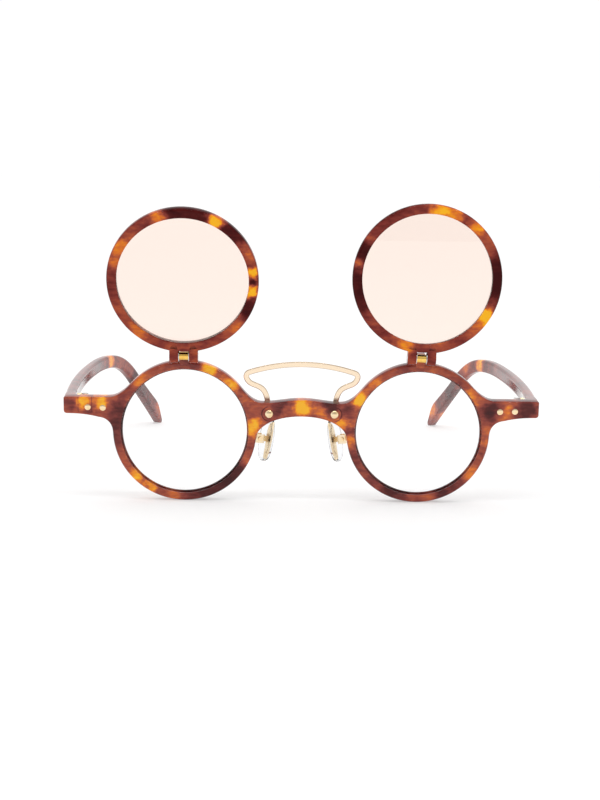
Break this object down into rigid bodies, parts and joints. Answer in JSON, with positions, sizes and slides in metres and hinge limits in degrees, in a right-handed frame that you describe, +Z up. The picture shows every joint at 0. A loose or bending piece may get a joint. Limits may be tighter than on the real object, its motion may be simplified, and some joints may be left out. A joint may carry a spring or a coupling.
{
  "type": "flip-up spectacles",
  "caption": "Round acetate spectacles with a brow wire, nose pads and folding temples, and tinted lens rims that flip up on top hinges.",
  "frame": {"origin": "centre of the overall box, on the surface that the rims and the temple tips stand on", "axes": "+X to the viewer's right seen from the front, +Y from the front to the temple tips, +Z up"},
  "size_m": [0.1454, 0.1527, 0.0889],
  "materials": {
    "tortoise_acetate": "polished tortoise acetate, dark maroon to amber",
    "clear_lens": "clear, polished",
    "tinted_lens": "pale peach tint, polished",
    "gold": "polished gold plate",
    "pale_gold": "polished pale gold plate",
    "steel": "satin nickel silver",
    "clear_silicone": "clear soft silicone"
  },
  "bodies": {
    "frame": {"front": "tortoise_acetate", "lens_left": "clear_lens", "lens_right": "clear_lens", "flip_barrel_left": "gold", "flip_barrel_right": "gold", "front_hinge_left": "steel", "front_hinge_right": "steel", "front_rivets_left": "gold", "front_rivets_right": "gold", "temple_screw_left": "steel", "temple_screw_right": "steel", "brow_wire": "pale_gold", "bridge_rivets": "gold", "pad_arm_left": "pale_gold", "pad_arm_right": "pale_gold", "pad_screw_left": "gold", "pad_screw_right": "gold"},
    "flip_left": {"flip_rim_left": "tortoise_acetate", "flip_lens_left": "tinted_lens", "flip_pin_left": "steel", "flip_washers_left": "steel"},
    "temple_left": {"temple_left": "tortoise_acetate", "temple_core_left": "steel", "temple_hinge_left": "steel", "temple_rivets_left": "gold"},
    "pad_left": {"nose_pad_left": "clear_silicone", "pad_core_left": "pale_gold"},
    "flip_right": {"flip_rim_right": "tortoise_acetate", "flip_lens_right": "tinted_lens", "flip_pin_right": "steel", "flip_washers_right": "steel"},
    "temple_right": {"temple_right": "tortoise_acetate", "temple_core_right": "steel", "temple_hinge_right": "steel", "temple_rivets_right": "gold"},
    "pad_right": {"nose_pad_right": "clear_silicone", "pad_core_right": "pale_gold"}
  },
  "joints": [
    {"name": "flip_left", "type": "hinge", "parent": "frame", "child": "flip_left", "pos_m": [-0.0345, -0.06328, 0.04409], "axis": [1, 0, 0], "range_deg": [-14, 168.5]},
    {"name": "flip_right", "type": "hinge", "parent": "frame", "child": "flip_right", "pos_m": [0.0345, -0.06328, 0.04409], "axis": [0.999, 0.0029, -0.0435], "range_deg": [0, 182.5]},
    {"name": "temple_left", "type": "hinge", "parent": "frame", "child": "temple_left", "pos_m": [-0.0644, -0.05351, 0.02856], "axis": [0, 0, -1], "range_deg": [0, 84]},
    {"name": "temple_right", "type": "hinge", "parent": "frame", "child": "temple_right", "pos_m": [0.0644, -0.05351, 0.02856], "axis": [0, 0, 1], "range_deg": [0, 70]},
    {"name": "pad_left", "type": "hinge", "parent": "frame", "child": "pad_left", "pos_m": [-0.01275, -0.05183, 0.01806], "axis": [-0.4695, 0.881, 0.0585], "range_deg": [-8, 8]},
    {"name": "pad_right", "type": "hinge", "parent": "frame", "child": "pad_right", "pos_m": [0.01275, -0.05183, 0.01806], "axis": [0.4695, 0.881, 0.0585], "range_deg": [-8, 8]}
  ]
}
